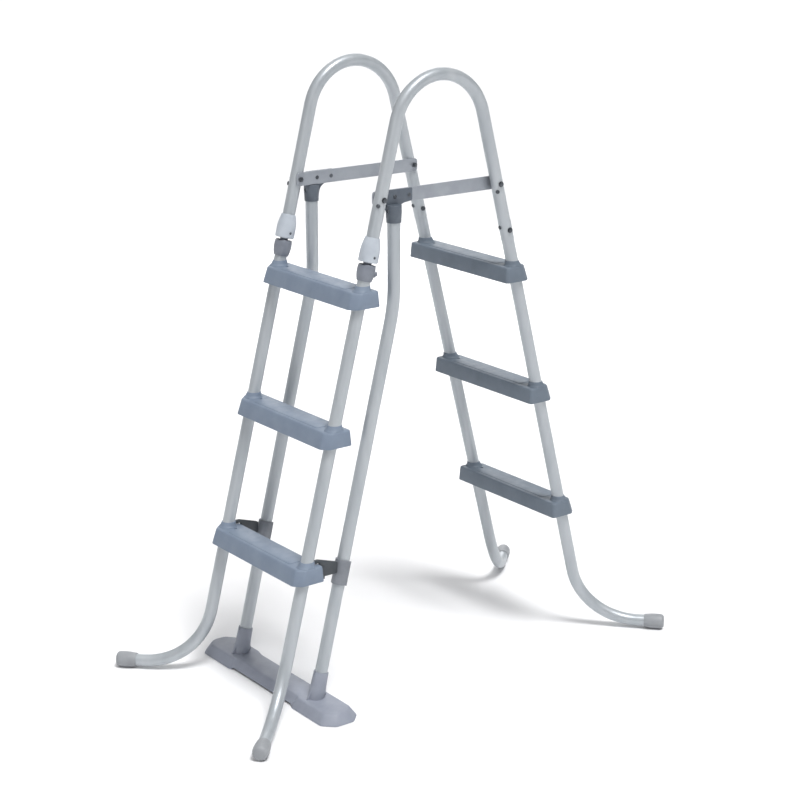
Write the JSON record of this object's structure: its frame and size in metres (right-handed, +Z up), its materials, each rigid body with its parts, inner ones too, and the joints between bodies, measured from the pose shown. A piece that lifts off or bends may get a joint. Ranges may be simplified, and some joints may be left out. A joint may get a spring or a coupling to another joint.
{
  "type": "pool ladder",
  "caption": "A-frame ladder for an above-ground pool, with two arched handrails, moulded steps on both sides, a base plate, and an outer half that swings out and pulls off.",
  "frame": {"origin": "on the floor, under the middle of the whole object's box", "axes": "+Z up, +X towards the pool side, -X towards the side it is climbed from, +Y to the left of a person facing the pool"},
  "size_m": [1.1842, 0.625, 1.3853],
  "materials": {
    "tube_paint": "light grey powder coat, satin",
    "bar_paint": "grey powder coat, satin",
    "bracket_plastic": "moulded grey plastic, fine grain",
    "step_plastic": "moulded blue-grey plastic, fine grain",
    "base_plastic": "moulded grey plastic, fine grain",
    "socket_plastic": "moulded light grey plastic",
    "plug_plastic": "moulded mid grey plastic",
    "clip_plastic": "moulded dark grey plastic",
    "cap_plastic": "soft light grey plastic",
    "fastener_steel": "zinc plated steel"
  },
  "bodies": {
    "frame": {"handrail_right": "tube_paint", "top_bar_right": "bar_paint", "bar_bracket_right": "bracket_plastic", "support_leg_right": "tube_paint", "support_pin_right": "fastener_steel", "inner_leg_right": "tube_paint", "coupling_socket_right": "socket_plastic", "swing_pin_right": "fastener_steel", "bar_bolt_outer_right": "fastener_steel", "bar_nut_outer_right": "fastener_steel", "bar_screw_outer_right": "fastener_steel", "inner_foot_cap_right": "cap_plastic", "bar_bolt_inner_right": "fastener_steel", "bar_nut_inner_right": "fastener_steel", "bar_screw_inner_right": "fastener_steel", "bracket_rivet_1_right": "fastener_steel", "bracket_rivet_2_right": "fastener_steel", "splice_bolt_right": "fastener_steel", "splice_nut_right": "fastener_steel", "splice_screw_right": "fastener_steel", "handrail_left": "tube_paint", "top_bar_left": "bar_paint", "bar_bracket_left": "bracket_plastic", "support_leg_left": "tube_paint", "support_pin_left": "fastener_steel", "inner_leg_left": "tube_paint", "coupling_socket_left": "socket_plastic", "swing_pin_left": "fastener_steel", "bar_bolt_outer_left": "fastener_steel", "bar_nut_outer_left": "fastener_steel", "bar_screw_outer_left": "fastener_steel", "inner_foot_cap_left": "cap_plastic", "bar_bolt_inner_left": "fastener_steel", "bar_nut_inner_left": "fastener_steel", "bar_screw_inner_left": "fastener_steel", "bracket_rivet_1_left": "fastener_steel", "bracket_rivet_2_left": "fastener_steel", "splice_bolt_left": "fastener_steel", "splice_nut_left": "fastener_steel", "splice_screw_left": "fastener_steel", "inner_step_bottom": "step_plastic", "inner_step_middle": "step_plastic", "inner_step_top": "step_plastic", "base_plate": "base_plastic"},
    "couplings": {"coupling_plug_right": "plug_plastic", "coupling_plug_left": "plug_plastic"},
    "step_unit": {"outer_leg_right": "tube_paint", "leg_clip_right": "clip_plastic", "outer_foot_cap_right": "cap_plastic", "outer_leg_left": "tube_paint", "leg_clip_left": "clip_plastic", "outer_foot_cap_left": "cap_plastic", "outer_step_bottom": "step_plastic", "outer_step_middle": "step_plastic", "outer_step_top": "step_plastic"},
    "latch_right": {"latch_button_right": "plug_plastic"},
    "latch_left": {"latch_button_left": "plug_plastic"}
  },
  "joints": [
    {"name": "steps_swing", "type": "hinge", "parent": "frame", "child": "couplings", "pos_m": [-0.18978, 0, 1.00161], "axis": [0, 1, 0], "range_deg": [0, 20]},
    {"name": "steps_withdraw", "type": "slide", "parent": "couplings", "child": "step_unit", "axis": [-0.2516, 0, -0.9678], "range_m": [0, 0.025]},
    {"name": "latch_right_press", "type": "slide", "parent": "couplings", "child": "latch_right", "axis": [-0.8, 0.6, 0], "range_m": [0, 0.003], "stiffness_N_per_m": 600, "springref_m": -0.001},
    {"name": "latch_left_press", "type": "slide", "parent": "couplings", "child": "latch_left", "axis": [-0.8, -0.6, 0], "range_m": [0, 0.003], "stiffness_N_per_m": 600, "springref_m": -0.001}
  ]
}
